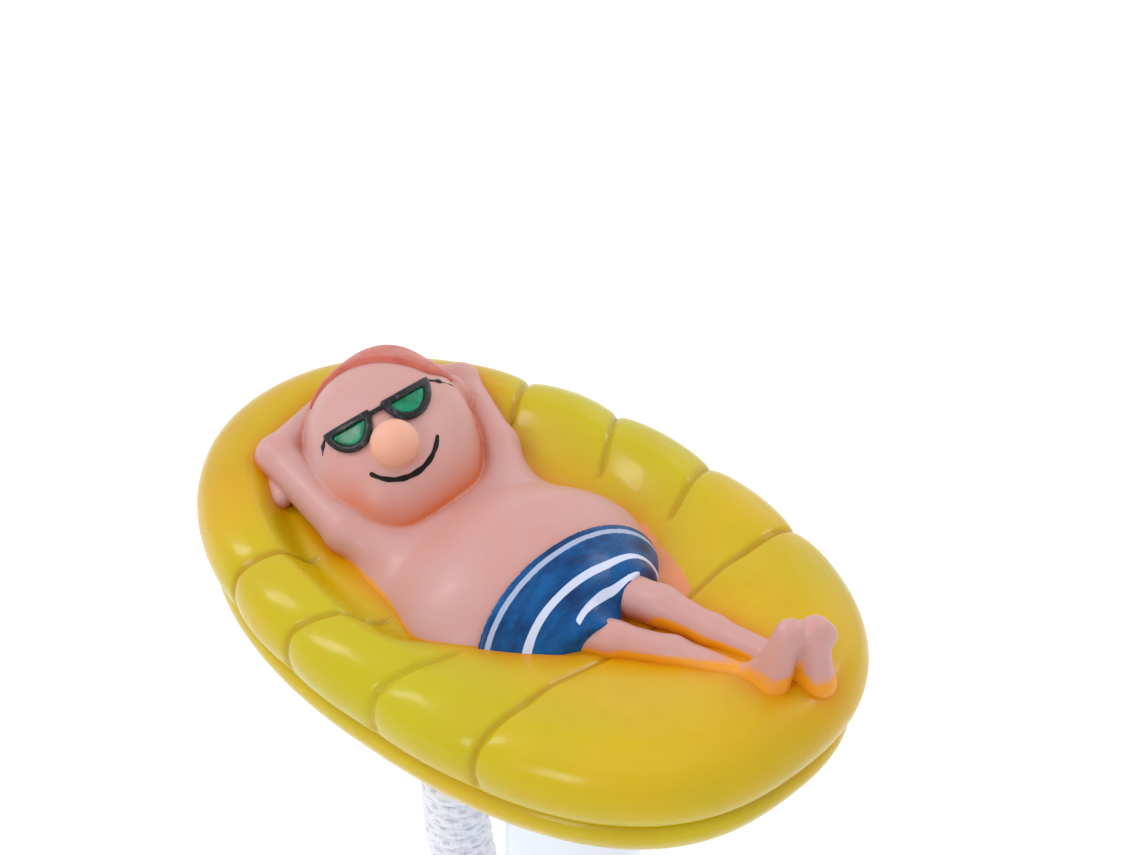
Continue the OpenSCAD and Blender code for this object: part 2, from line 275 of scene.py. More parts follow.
def raft_material():
    m = Material("raft_vinyl", IOR=1.4, Specular_IOR_Level=0.35, Coat_Weight=0.22, Coat_Roughness=0.12)
    patches = m.ramp(m.noise(26, 2), 0.42, 0.6)
    colour = m.mix(patches, tint(206, 170, 0), tint(196, 176, 0))
    low = m.ramp(m.along((0, 0, 1)), 0.0035, -0.006)
    colour = m.mix(low, colour, tint(208, 184, 2))
    cloud = m.ramp(m.noise(55, 4, 0.6), 0.35, 0.7)
    colour = m.mix(m.maths("MULTIPLY", cloud, 0.28), colour, tint(186, 144, 0))
    airbrush = m.maths("MULTIPLY", m.painted("beside_figure"),
                       m.ramp(m.noise(90, 4, 0.6), 0.25, 0.75, 0.5, 0.8))
    colour = m.mix(airbrush, colour, tint(212, 112, 6))
    # Painted shade: darker along the seam creases, where the grooves fall into shade.
    colour = m.mix(m.maths("MULTIPLY", m.painted("crease"), 0.75), colour, tint(176, 126, 6))
    colour = m.mix(m.painted("green_vinyl"), colour, tint(186, 180, 0))
    bare = m.ramp(m.maths("ADD", m.painted("bare_vinyl"), m.maths("MULTIPLY", m.noise(500, 4, 0.7), 0.5)),
                  0.62, 0.95)
    colour = m.mix(bare, colour, tint(222, 140, 96))
    m.colour(colour)
    m.roughness(0.24, 0.36, 160)
    m.bump(m.noise(420, 3, 0.6), 0.12, 0.0003)
    return m.data


def skin_material():
    m = Material("skin_vinyl", IOR=1.46, Subsurface_Weight=0.35, Subsurface_Scale=0.0022, Coat_Weight=0.1,
                 Coat_Roughness=0.25)
    m.shader.inputs["Subsurface Radius"].default_value = (1.0, 0.42, 0.25)
    mottle = m.ramp(m.noise(70, 4, 0.6), 0.3, 0.72)
    colour = m.mix(mottle, tint(203, 148, 140), tint(200, 153, 150))
    colour = m.mix(m.ramp(m.painted("shade"), 0.0, 0.9), colour, tint(206, 104, 54))
    colour = m.mix(m.painted("nose"), colour, tint(228, 170, 146))
    specks = m.ramp(m.node("TexVoronoi", {"Vector": m.place(), "Scale": 240.0}).outputs["Distance"],
                    0.07, 0.035)
    rare = m.ramp(m.noise(130, 1), 0.6, 0.66)
    colour = m.mix(m.maths("MULTIPLY", specks, m.maths("MULTIPLY", rare, 0.5)), colour, tint(150, 90, 84))
    edge = m.maths("ADD", m.painted("overspray"), m.maths("MULTIPLY", m.noise(260, 4, 0.65), 0.35))
    colour = m.mix(m.ramp(edge, 0.5, 0.95), colour, tint(230, 150, 10))
    m.colour(colour)
    m.roughness(0.36, 0.5, 200)
    m.bump(m.noise(650, 3, 0.6), 0.1, 0.0002)
    return m.data


def hair_material():
    m = Material("hair_paint", IOR=1.46, Coat_Weight=0.15, Coat_Roughness=0.3, Subsurface_Weight=0.15,
                 Subsurface_Scale=0.0015)
    strands = m.noise(300, 5, 0.65, stretch=(0.5, 1.0, 1.0))
    colour = m.mix(m.ramp(strands, 0.3, 0.7), tint(180, 76, 60), tint(196, 98, 80))
    colour = m.mix(m.ramp(m.painted("shade"), 0.1, 0.9), colour, tint(176, 62, 44))
    thin = m.ramp(m.maths("ADD", m.painted("hairline"), m.maths("MULTIPLY", m.noise(220, 4, 0.7), 0.6)),
                  0.55, 1.1)
    m.colour(m.mix(thin, colour, tint(206, 130, 114)))
    m.roughness(0.34, 0.5, 240)
    m.bump(strands, 0.25, 0.0003)
    return m.data


def trunks_material():
    """Blue paint with bands brushed on round the body. Each band is a plane that cuts the trunks."""
    m = Material("trunks_paint", IOR=1.4, Specular_IOR_Level=0.25, Coat_Weight=0.1, Coat_Roughness=0.12)
    brushed = m.noise(330, 5, 0.7, stretch=(1.0, 0.35, 0.6))
    colour = m.mix(m.ramp(brushed, 0.3, 0.7), tint(0, 48, 100), tint(0, 88, 152))
    colour = m.mix(m.ramp(m.noise(900, 3, 0.7), 0.6, 0.78, 0.0, 0.25), colour, tint(40, 120, 180))
    for name, strength in (("band", 1.0), ("faint_band", 0.62)):
        edge = m.maths("ADD", m.painted(name), m.maths("MULTIPLY", m.maths("SUBTRACT", brushed, 0.5), 0.55))
        cover = m.maths("MULTIPLY", m.ramp(edge, 0.42, 0.62), strength)
        colour = m.mix(cover, colour, tint(205, 214, 240))
    m.colour(colour)
    m.roughness(0.18, 0.34, 300)
    m.bump(brushed, 0.2, 0.0002)
    return m.data


def frame_material():
    m = Material("sunglasses_paint", IOR=1.45, Specular_IOR_Level=0.3, Coat_Weight=0.1, Coat_Roughness=0.15)
    worn = m.ramp(m.noise(520, 4, 0.7), 0.5, 0.72)
    m.colour(m.mix(worn, tint(14, 13, 18), tint(76, 70, 84)))
    m.roughness(0.22, 0.42, 500)
    m.bump(m.noise(900, 3), 0.2, 0.0001)
    return m.data


def smile_material():
    m = Material("smile_paint", IOR=1.45, Specular_IOR_Level=0.2)
    m.colour(m.mix(m.ramp(m.noise(700, 4, 0.7), 0.5, 0.8), tint(12, 8, 10), tint(60, 34, 34)))
    m.roughness(0.3, 0.5, 600)
    m.bump(m.noise(1200, 3), 0.25, 0.0001)
    return m.data


def lens_material():
    m = Material("lens_paint", IOR=1.45, Specular_IOR_Level=0.3, Coat_Weight=0.15, Coat_Roughness=0.1)
    colour = m.mix(m.ramp(m.noise(330, 4, 0.6), 0.35, 0.65), tint(0, 96, 60), tint(10, 140, 104))
    glint = m.ramp(m.noise(480, 4, 0.75, stretch=(1.0, 0.4, 1.0)), 0.62, 0.74, 0.0, 0.6)
    m.colour(m.mix(glint, colour, tint(110, 196, 178)))
    m.roughness(0.14, 0.3, 400)
    m.bump(m.noise(800, 3), 0.15, 0.0001)
    return m.data


def cord_material():
    m = Material("white_cord", Sheen_Weight=0.35, Sheen_Roughness=0.5, Subsurface_Weight=0.1,
                 Subsurface_Scale=0.001)
    fibres = m.noise(2600, 4, 0.7)
    colour = m.mix(m.ramp(fibres, 0.3, 0.7), tint(214, 218, 232), tint(246, 247, 252))
    # Painted shade: darker where the braid's strands dip into the valleys between them.
    m.colour(m.mix(m.painted("valley"), colour, tint(150, 156, 184)))
    m.roughness(0.62, 0.82, 900)
    m.bump(fibres, 0.35, 0.00015)
    return m.data


def moulded_material(name, light, dark, roughness, coat=0.2, grain=0.08):
    """Moulded plastic: slight colour drift, faint grain and fine handling scuffs."""
    m = Material(name, IOR=1.49, Coat_Weight=coat, Coat_Roughness=0.12)
    drift = m.ramp(m.noise(24, 3), 0.3, 0.7)
    colour = m.mix(drift, dark, light)
    scuffs = m.ramp(m.noise(120, 6, 0.75, stretch=(1.0, 1.0, 0.12)), 0.66, 0.8, 0.0, 0.35)
    m.colour(m.mix(scuffs, colour, light))
    m.roughness(roughness, roughness + 0.12, 140)
    m.bump(m.noise(1500, 3, 0.6), grain, 0.0001)
    return m.data


def window_material():
    m = Material("clear_window", IOR=1.49, Coat_Weight=0.5, Coat_Roughness=0.05)
    m.colour(m.mix(m.ramp(m.noise(60, 4), 0.3, 0.7), tint(188, 190, 206), tint(208, 210, 224)))
    film = m.ramp(m.noise(180, 6, 0.75, stretch=(1.0, 1.0, 0.15)), 0.5, 0.85, 0.1, 0.2)
    m.feed(m.shader.inputs["Alpha"], film)
    m.roughness(0.06, 0.14, 200)
    return m.data


def glass_material():
    m = Material("stem_glass", IOR=1.5, Coat_Weight=0.8, Coat_Roughness=0.03)
    m.colour(m.mix(m.ramp(m.noise(90, 3), 0.3, 0.7), tint(168, 186, 206), tint(202, 214, 228)))
    m.feed(m.shader.inputs["Alpha"],
           m.ramp(m.noise(300, 4, 0.6, stretch=(1.0, 1.0, 0.1)), 0.3, 0.8, 0.1, 0.2))
    m.roughness(0.04, 0.09, 300)
    return m.data


def scale_material():
    m = Material("scale_card", IOR=1.45)
    fibres = m.noise(900, 5, 0.7)
    # The card's grey-purple is partly its own grey and partly painted shade, from the card lying in the
    # tube's shade behind the window.
    colour = m.mix(m.ramp(fibres, 0.3, 0.7), tint(146, 140, 172), tint(166, 160, 190))
    m.colour(m.mix(m.ramp(m.noise(40, 3), 0.35, 0.7), colour, tint(150, 152, 190)))
    m.roughness(0.45, 0.6, 300)
    m.bump(fibres, 0.1, 0.0001)
    return m.data


def ink_material():
    m = Material("print_ink", IOR=1.45)
    m.colour(m.mix(m.ramp(m.noise(1800, 4, 0.7), 0.45, 0.7), tint(8, 6, 18), tint(34, 28, 52)))
    m.roughness(0.4, 0.6, 800)
    return m.data


def spirit_material():
    m = Material("blue_spirit", IOR=1.36, Coat_Weight=0.7, Coat_Roughness=0.04)
    m.colour(m.mix(m.ramp(m.noise(300, 3), 0.3, 0.7), tint(0, 40, 92), tint(4, 66, 120)))
    m.roughness(0.08, 0.16, 300)
    return m.data


def rubber_material():
    m = Material("seal_rubber", IOR=1.5)
    m.colour(m.mix(m.ramp(m.noise(400, 5, 0.7), 0.4, 0.7), tint(22, 22, 24), tint(52, 52, 54)))
    m.roughness(0.5, 0.7, 500)
    m.bump(m.noise(1400, 4), 0.2, 0.0001)
    return m.data


def metal_material(name, light, dark, low, high, stretch):
    m = Material(name, Metallic=1.0)
    grain = m.noise(700, 5, 0.7, stretch=stretch)
    m.colour(m.mix(m.ramp(grain, 0.3, 0.7), dark, light))
    m.roughness(low, high, 400)
    m.bump(grain, 0.25, 0.0001)
    return m.data


def floor_material():
    m = Material("pale_floor", Roughness=0.9)
    m.colour(m.mix(m.ramp(m.noise(3, 2), 0.3, 0.7), tint(250, 250, 250), tint(253, 253, 253)))
    return m.data


# --- Raft ------------------------------------------------------------------------

HEAD_SQUARENESS = 2.09
FOOT_SQUARENESS = 2.47
FOOT_RISE = 2.1
AROUND = 900
BED_HEIGHT = 20.4
# Outer half of the profile, from the underside to the crest: distance in from the widest line, height
PROFILE = [
    (18, 0), (14.5, 0.3), (11, 0.95), (8.6, 1.8), (6.6, 2.9), (4.9, 4.2), (3.6, 5.6), (2.7, 7.1), (2.3, 8.5),
    (2.5, 9.8), (3.1, 10.6), (3.6, 11.0), (3.1, 11.4), (2.1, 12.1), (1.1, 13.3), (0.35, 15), (0, 17),
    (0.2, 18.9), (0.9, 20.7), (2.1, 22.2), (3.8, 23.4), (6.0, 24.3), (8.5, 24.7),
]
CREST_INSET = 8.5
# Each seam: outer and inner end along the raft, and how far in from the edge the line runs
SEAMS = [(31.5, 24.5, 17), (14.5, 5.5, 18), (-6.5, -10.5, 18), (-27.5, -27, 36)]


def outline(angle, inset):
    """A ring of the raft: a rounded rectangle drawn in by inset."""
    c, s = np.cos(angle), np.sin(angle)
    power = 2 / np.where(c > 0, HEAD_SQUARENESS, FOOT_SQUARENESS)
    x = np.maximum(HALF_LENGTH - inset, 0.02) * np.sign(c) * np.abs(c) ** power
    y = np.maximum(HALF_WIDTH - inset, 0.02) * np.sign(s) * np.abs(s) ** power
    return x, y


def rim_width(x, y):
    """How wide the rim is at a place: narrow on the sunbather's right, wider on the left and at the ends."""
    side = np.where(y > 0, 15.4, 19.6)
    foot = smooth_step(x, np.where(y > 0, 2, -8), np.where(y > 0, -18, -30))
    head = smooth_step(x, 36, 56)
    return side + (38 - side) * foot + (25 - side) * head


def seam_depth(x, inset):
    """(rounded dip, sharp crease) of the seams at a place."""
    dip, crease = np.zeros_like(x), np.zeros_like(x)
    for outer, inner, reach in SEAMS:
        line = outer + (inner - outer) * np.clip((inset - 1) / 15, 0, 1)
        away = np.abs(x - line)
        open_end = smooth_step(inset, reach, reach - 3)
        dip = np.maximum(dip, np.exp(-away / 3.4) * smooth_step(inset, 19, 12) * open_end)
        crease = np.maximum(crease, np.exp(-((away / 0.55) ** 2)) * open_end)
    return dip, crease


def shear(x):
    return -FOOT_RISE * x / HALF_LENGTH


def bed_top(x, y, inset):
    """Height of the rim's inner slope and of the bed that the sunbather lies on."""
    width = rim_width(x, y)
    t = np.clip((inset - CREST_INSET) / (width - CREST_INSET), 0, 1)
    crest = PROFILE[-1][1]
    return BED_HEIGHT + (crest - BED_HEIGHT) * (0.5 + 0.5 * np.cos(np.pi * t))


def raft_mesh():
    angle = np.linspace(0, 2 * np.pi, AROUND, endpoint=False)
    outer = spline(PROFILE, 110)
    tangent = np.gradient(outer, axis=0)
    tangent /= np.linalg.norm(tangent, axis=1)[:, None]
    out_normal, up_normal = tangent[:, 1], tangent[:, 0]
    under = np.linspace(HALF_WIDTH, PROFILE[0][0], 14, endpoint=False)
    inner = np.linspace(CREST_INSET, HALF_WIDTH, 90)[1:]
    rows = [(inset, 0.0, 0.0, -1.0, 0.0) for inset in under]
    rows += [(i, z, o, -u, 1.0) for (i, z), o, u in zip(outer, out_normal, up_normal)]
    rows += [(inset, None, 0.0, 1.0, 1.0) for inset in inner]
    # crease_shade collects the seam creases as a mask of painted shade for the material.
    verts, crease_shade = [], []
    for inset, height, out, up, seamed in rows:
        x, y = outline(angle, inset)
        if height is None:
            z = bed_top(x, y, inset)
            reach = np.ones_like(x)
        else:
            z = np.full_like(x, height)
            reach = smooth_step(height, 11.2, 14.5) * np.ones_like(x) * seamed
        dip, crease = seam_depth(x, np.full_like(x, inset))
        push = -(1.15 * dip + 0.5 * crease) * reach
        around = np.stack([x / HALF_LENGTH**2, y / HALF_WIDTH**2], 1)
        around /= np.linalg.norm(around, axis=1)[:, None] + 1e-9
        x, y = x + around[:, 0] * out * push, y + around[:, 1] * out * push
        z = z + abs(up) * push * (1 if height is None or height > 17 else 0.3) + shear(x)
        verts.append(np.stack([x, y, z], 1) + BASE)
        crease_shade.append(crease * reach)
    count = len(rows)
    grid = np.arange(count * AROUND).reshape(count, AROUND)
    right = np.roll(grid, -1, axis=1)
    quads = np.stack([grid[:-1], right[:-1], right[1:], grid[1:]], -1).reshape(-1, 4)
    raft = mesh_object("raft", np.vstack(verts), quads)
    return raft, np.concatenate(crease_shade)


def raft_surface(p):
    """Rough distance above the raft's top at points p, for paint and for the sunbather's contact shading."""
    q = p - BASE
    x, y = q[..., 0], q[..., 1]
    power = np.where(x > 0, HEAD_SQUARENESS, FOOT_SQUARENESS)
    near = (np.abs(x / HALF_LENGTH) ** power + np.abs(y / HALF_WIDTH) ** power) ** (1 / power)
    inset = np.maximum((1 - near) * (HALF_WIDTH + (HALF_LENGTH - HALF_WIDTH) * np.abs(x) / HALF_LENGTH), 0)
    crest = PROFILE[-1][1]
    top = np.where(inset > CREST_INSET, bed_top(x, y, inset), crest - (CREST_INSET - inset) ** 2 * 0.06)
    return q[..., 2] - top - shear(x)


# --- Sunbather: shapes as distance functions ---------------------------------------

HEAD = on_raft(32.5, -0.5, 22)
HEAD_TURN = math.radians(39)
HEAD_TILT = math.radians(8)
HEAD_SIZE = np.array([20.0, 15.0, 14.5])
FACE_MIDDLE = on_raft(35.1, -4.4, 22.8)


def head_axes():
    """(towards the chin, across, out of the raft)"""
    chin = np.array([
        -math.cos(HEAD_TURN) * math.cos(HEAD_TILT),
        math.sin(HEAD_TURN) * math.cos(HEAD_TILT),
        -math.sin(HEAD_TILT),
    ])
    across = np.array([math.sin(HEAD_TURN), math.cos(HEAD_TURN), 0])
    return np.array([chin, across, np.cross(across, chin) * -1])


HEAD_AXES = head_axes()
HAIR_THICK = 0.8
# The way from the face into the hair
HAIRLINE = np.array([0.532, -0.804, -0.267])
FACE_ROLL = math.radians(30)


def ellipsoid(p, centre, size, axes=None):
    q = p - centre
    if axes is not None:
        q = q @ axes.T
    a = np.linalg.norm(q / size, axis=-1)
    b = np.linalg.norm(q / np.square(size), axis=-1)
    return a * (a - 1) / np.maximum(b, 1e-6)


def limb(p, start, end, start_r, end_r):
    line = end - start
    t = np.clip((p - start) @ line / (line @ line), 0, 1)
    return np.linalg.norm(p - start - t[..., None] * line, axis=-1) - (start_r + (end_r - start_r) * t)


def chain(p, points, radii, soft=1.0):
    parts = [limb(p, a, b, ra, rb) for a, b, ra, rb in zip(points, points[1:], radii, radii[1:])]
    whole = parts[0]
    for part in parts[1:]:
        whole = join(whole, part, soft)
    return whole


def join(a, b, soft):
    """Smooth union: soft is how wide the fillet is."""
    h = np.clip(0.5 + 0.5 * (b - a) / soft, 0, 1)
    return b + (a - b) * h - soft * h * (1 - h)


def keep(a, b, soft=0.5):
    """Smooth intersection."""
    return -join(-a, -b, soft)


def head(p):
    return ellipsoid(p, HEAD, HEAD_SIZE, HEAD_AXES)


def torso(p):
    belly = ellipsoid(p, on_raft(-2.6, 3.2, 16), (18, 24.0, 16.0))
    chest = ellipsoid(p, on_raft(14, 2.6, 16.5), (14, 20.5, 8.2))
    return join(belly, chest, 7)


def arms(p):
    right = chain(p, [on_raft(15, 14, 19.5), on_raft(25, 16.6, 22.2),
                      on_raft(45.6, 13.2, 23.4), on_raft(49.5, -1, 22)],
                  [4.8, 3.9, 3.4, 3.0], 1.6)
    forearm = limb(p, on_raft(48, 12.5, 21.5), on_raft(40, 17.6, 20.4), 2.2, 1.8)
    left = chain(p, [on_raft(15, -10, 20), on_raft(23, -15.4, 22),
                     on_raft(38.5, -22, 22.6), on_raft(50, -9, 22.5)],
                 [4.6, 3.5, 3.0, 3.4], 1.6)
    return np.minimum(np.minimum(right, forearm), left)


def legs(p):
    near = chain(p, [on_raft(-17, 8, 21.5), on_raft(-24, 4.8, 22.2),
                     on_raft(-33, 0.4, 22.6), on_raft(-47.5, -3, 24)],
                 [4.2, 3.2, 2.7, 2.3], 1.5)
    far = chain(p, [on_raft(-15, -3, 22.5), on_raft(-25, -5.2, 24),
                    on_raft(-35, -6.6, 24), on_raft(-46.5, -7.6, 25.6)],
                [4.2, 3.2, 2.7, 2.4], 1.5)
    return np.minimum(near, far)


def foot(p, heel, ankle, toes, width):
    back = limb(p, heel, toes, width * 1.12, width * 0.86)
    front = limb(p, ankle, toes, width * 0.95, width * 0.9)
    sole = limb(p, heel, ankle, width, width)
    middle = limb(p, (heel + ankle) / 2, toes, width, width * 0.9)
    return join(join(back, front, 1.5), join(sole, middle, 1.5), 1.5)


def feet(p):
    near = foot(p, on_raft(-52.4, -2.2, 24.2), on_raft(-48, -3.4, 25.4), on_raft(-52.2, -6.0, 35.4), 2.1)
    far = foot(p, on_raft(-56.2, -8.6, 25.6), on_raft(-50, -8, 27), on_raft(-54.6, -9.2, 35.2), 2.4)
    toe = limb(p, on_raft(-54.4, -8.4, 35), on_raft(-55.6, -11, 34), 1.9, 1.6)
    return join(join(near, far, 0.7), toe, 1.4)


def below_head(p):
    lower = join(legs(p), feet(p), 1.6)
    upper = join(torso(p), arms(p), 2.6)
    return join(upper, lower, 2.0)


def body(p):
    return join(below_head(p), face_and_ear(p), 0.2)


def face_and_ear(p):
    ball = ellipsoid(p, NOSE, NOSE_SIZE)
    skull = join(head(p), ball, 0.9)
    ear = ellipsoid(p, EAR, (3.6, 2.0, 3.9))
    hollow = ellipsoid(p, EAR + np.array([-0.4, -2.0, 0.6]), (1.8, 1.3, 2.1))
    return join(skull, keep(ear, -hollow, 0.7), 1.2)


def hair(p):
    q = p - FACE_MIDDLE
    cap = join(head(p) - HAIR_THICK, ellipsoid(p, on_raft(43.5, -9, 26), (6.5, 7.5, 7.0)), 2.5)
    front = 0.4 - q @ HAIRLINE
    behind_ear = -0.6 - q[..., 0] - 0.12 * q[..., 2]
    above_arm = 22.0 - (p - BASE)[..., 2]
    return keep(keep(keep(cap, front, 1.6), behind_ear, 1.6), above_arm, 1.0)


def waist(q):
    """Distance towards the chest from the trunks' upper edge, for places q on the raft."""
    return (q[..., 0] + 8.7 - 0.3 * (q[..., 2] - 30.5)) * 0.96


def trunks(p):
    q = p - BASE
    hips = ellipsoid(p, on_raft(-10.5, 3.2, 17.5), (12.5, 18.6, 11.5))
    near_leg = limb(p, on_raft(-12, 9.5, 19.5), on_raft(-24.4, 6.2, 21.6), 7.6, 4.4)
    far_leg = limb(p, on_raft(-10, -5, 20), on_raft(-20.5, -5.4, 23.2), 7.2, 4.3)
    q = q - FIGURE_SHIFT
    cloth = join(join(join(torso(p) - 0.55, hips, 4), near_leg, 2.5), far_leg, 2.5)
    near_hem = (-(q[..., 0] + 23.2) + 0.34 * (q[..., 1] - 6)) * 0.95
    far_hem = (-(q[..., 0] + 19.6) - 0.2 * (q[..., 1] + 5)) * 0.97
    side = smooth_step(q[..., 1], -0.5, 2.5)
    hem = near_hem * side + far_hem * (1 - side)
    return keep(keep(cloth, waist(q), 0.5), hem, 0.6)


def to_mesh(name, distance, low, high, step):
    """Meshes the zero surface of a distance function inside a box."""
    axes = [np.arange(a, b, step) for a, b in zip(low, high)]
    values = np.empty([len(a) for a in axes], np.float32)
    yz = np.stack(np.meshgrid(axes[1], axes[2], indexing="ij"), -1)
    for i, x in enumerate(axes[0]):
        p = np.concatenate([np.full(yz.shape[:2] + (1,), x), yz], -1)
        values[i] = distance(p)
    band = 3 * step
    grid = openvdb.FloatGrid(band)
    grid.copyFromArray(np.clip(values, -band, band))
    points, quads = grid.convertToQuads(0.0)
    return mesh_object(name, points * step + np.asarray(low), quads)


def hollows(distance, p, normals, reaches=(1.5, 4.0, 8.0)):
    """How shut in a surface is, from 0 in the open to 1 in a deep crease."""
    total = np.zeros(len(p))
    for reach in reaches:
        total += np.clip(1 - distance(p + normals * reach) / reach, 0, 1)
    return total / len(reaches)


# --- Face: features laid out on the side that the face looks to -------------------


def face_axes(view_right, view_up, view_back):
    """(face's right, face's up, way the face looks): the head is rolled towards one shoulder."""
    right = view_right * math.cos(FACE_ROLL) + view_up * math.sin(FACE_ROLL)
    up = view_up * math.cos(FACE_ROLL) - view_right * math.sin(FACE_ROLL)
    return np.array([right, up, view_back])


RIGHT, UP, BACK = make_camera()
FACE = face_axes(RIGHT, UP, BACK)
NOSE_SIDE = -0.4
NOSE_SIZE = (4.1, 4.1, 4.1)


def on_face(a, b):
    """The point of the head's surface at a along the face and b up it."""
    start = FACE_MIDDLE + FACE[0] * a + FACE[1] * b
    reach = np.linspace(0, 34, 681)
    line = start + reach[:, None] * FACE[2]
    return line[np.argmin(np.abs(head(line)))]


NOSE = on_face(NOSE_SIDE, -0.6) + FACE[2] * 0.9
EAR = on_raft(34.6, -17.0, 25.0)
EYE_SPACING = 5.45
EYE_HEIGHT = 6.3
LENS_WIDTH = 4.0
LENS_DEPTH = 4.5
RIM_THICK = 0.85
# How far round its arc the smile runs to each side
SMILE_REACH = math.radians(62)


def face_place(p):
    q = (p - FACE_MIDDLE) @ FACE.T
    return q[..., 0] - NOSE_SIDE, q[..., 1], q[..., 2]


def half_round(a, b, grow):
    """A lens outline: flat on top, round below. Negative inside."""
    away = np.stack([(np.abs(a) - EYE_SPACING) / (LENS_WIDTH + grow),
                     (b - EYE_HEIGHT) / (LENS_DEPTH + grow)], -1)
    round_part = (np.linalg.norm(away, axis=-1) - 1) * (LENS_WIDTH + grow)
    return keep(round_part, b - EYE_HEIGHT - grow, 0.4)


def sunglasses_frame(p):
    a, b, out = face_place(p)
    ring = keep(half_round(a, b, 0.35), -half_round(a, b, -RIM_THICK), 0.15)
    bridge = np.maximum(np.abs(b - EYE_HEIGHT + 0.5) - 0.36, np.abs(a) - 2.2)
    shape = np.minimum(ring, bridge)
    return keep(keep(head(p) - 0.75, shape, 0.3), -out, 0.3)


def sunglasses_lenses(p):
    a, b, out = face_place(p)
    return keep(keep(head(p) - 0.4, half_round(a, b, -RIM_THICK + 0.05), 0.2), -out, 0.3)


def temples(p):
    left = chain(p, [on_face(9.0, 6.0), on_face(10.6, 4.9), on_face(12.2, 3.2)], [0.3, 0.24, 0.18])
    right = chain(p, [on_face(-9.9, 6.1), on_face(-11.0, 4.9), on_face(-11.8, 3.6)], [0.26, 0.2, 0.14])
    return keep(head(p) - 0.35, np.minimum(left, right), 0.1)


def smile(p):
    """A brush stroke along an arc under the nose, thicker in the middle."""
    a, b, out = face_place(p)
    middle_b, radius = 0.8, 7.2
    angle = np.arctan2(a - 0.4, -(b - middle_b))
    width = 0.50 - 0.16 * np.abs(angle) / SMILE_REACH
    stroke = np.abs(np.hypot(a - 0.4, b - middle_b) - radius) - width - 0.05 * np.sin(angle * 17)
    ends = (np.abs(angle) - SMILE_REACH) * radius
    return keep(keep(keep(head(p) - 0.22, stroke, 0.15), ends, 0.5), -out, 0.3)


# --- Sunbather: pieces --------------------------------------------------------------


def make_body(material):
    def closed(p):
        return keep(body(p), 18.6 - (p - BASE)[..., 2], 0.3)

    piece = to_mesh("sunbather", closed, on_raft(-61, -29, 17.5), on_raft(56, 30, 40), 0.38)
    p, n = vertices_mm(piece), normals_of(piece)
    q = p - BASE

    def solids(x):
        return np.minimum(np.minimum(body(x), hair(x)), trunks(x) + 0.4)

    above = raft_surface(p)
    to_head, to_body = face_and_ear(p), below_head(p)
    chin = smooth_step(p[:, 0], HEAD[0] + 6, HEAD[0] - 8)
    on_head = 0.6 * chin * smooth_step(to_body, 9, 0) ** 1.5
    meet = np.where(to_head < 0.15, on_head, 0.35 * smooth_step(to_head, 2.2, 0) ** 2)
    beside_raft = 0.5 * smooth_step(above, 3.5, 0.2) * smooth_step(n[:, 2], 0.8, -0.2)
    shade = 0.22 * smooth_step(hollows(solids, p, n), 0.3, 0.8) + meet + beside_raft
    nose = smooth_step(ellipsoid(p, NOSE, NOSE_SIZE), 0.5, -0.1)
    below_knee = smooth_step(q[:, 0], -24, -30)
    soles = smooth_step(q[:, 0], -44, -50) * smooth_step(q[:, 2], 30.5, 25.5)
    between = smooth_step(q[:, 0], -46, -50) * hollows(feet, p, n, (1.5, 3.0)) * smooth_step(q[:, 2], 35, 30)
    sides = below_knee * smooth_step(n[:, 2], 0.75, 0.1) * smooth_step(above, 4.2, 1.4)
    touch = 0.75 * smooth_step(above, 1.3, 0.2)
    paint(piece, shade=shade * (1 - 0.8 * nose), nose=nose,
          overspray=np.maximum.reduce([sides, soles, 1.1 * between, touch]))
    piece.data.materials.append(material)
    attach(piece, "float")
    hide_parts("sunbather_body")


def make_hair(material):
    piece = to_mesh("hair", hair, on_raft(33, -23, 20), on_raft(56, 12, 37), 0.3)
    p, n = vertices_mm(piece), normals_of(piece)

    def solids(x):
        return np.minimum(hair(x), body(x))

    q = p - FACE_MIDDLE
    edge = q @ HAIRLINE - 0.4
    paint(piece, shade=smooth_step(hollows(solids, p, n), 0.3, 0.8),
          hairline=smooth_step(edge, 0.9, 0.0) * 0.5)
    piece.data.materials.append(material)
    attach(piece, "float")
    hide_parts("sunbather_hair")


def make_trunks(material):
    piece = to_mesh("trunks", trunks, on_raft(-27, -22, 17), on_raft(-4, 28, 33.5), 0.3)
    q = vertices_mm(piece) - BASE - FIGURE_SHIFT
    down = -waist(q)

    def band(middle, half):
        return smooth_step(np.abs(down - middle), half * 1.6, half * 0.6)

    curve = band(8.6 + 0.02 * (q[:, 1] - 1) ** 2, 0.4)
    arc = curve * smooth_step(q[:, 1], 9.4, 8.4) * smooth_step(q[:, 1], -8, -7)
    mark = band(11.6, 0.35) * smooth_step(q[:, 1], -0.8, -1.8) * smooth_step(q[:, 1], -6, -5)
    paint(piece, faint_band=np.maximum(band(1.5, 0.34), mark), band=np.maximum(band(6.0, 0.42), arc))
    piece.data.materials.append(material)
    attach(piece, "float")
    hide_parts("swim_trunks")


def make_face(frame_paint, lens_paint, smile_paint):
    low, high = FACE_MIDDLE + (-24, -14, -6), FACE_MIDDLE + (10, 24, 20)
    for name, distance, material, node, slot in (
        ("sunglasses", sunglasses_frame, frame_paint, "sunglasses_frame", "frame_paint"),
        ("lenses", sunglasses_lenses, lens_paint, "sunglasses_lenses", "lens_paint"),
        ("temples", temples, frame_paint, None, "frame_paint"),
        ("smile", smile, smile_paint, None, "frame_paint"),
    ):
        piece = to_mesh(name, distance, low, high, 0.2)
        piece.data.materials.append(material)
        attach(piece, "float")
        if node:
            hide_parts(node)


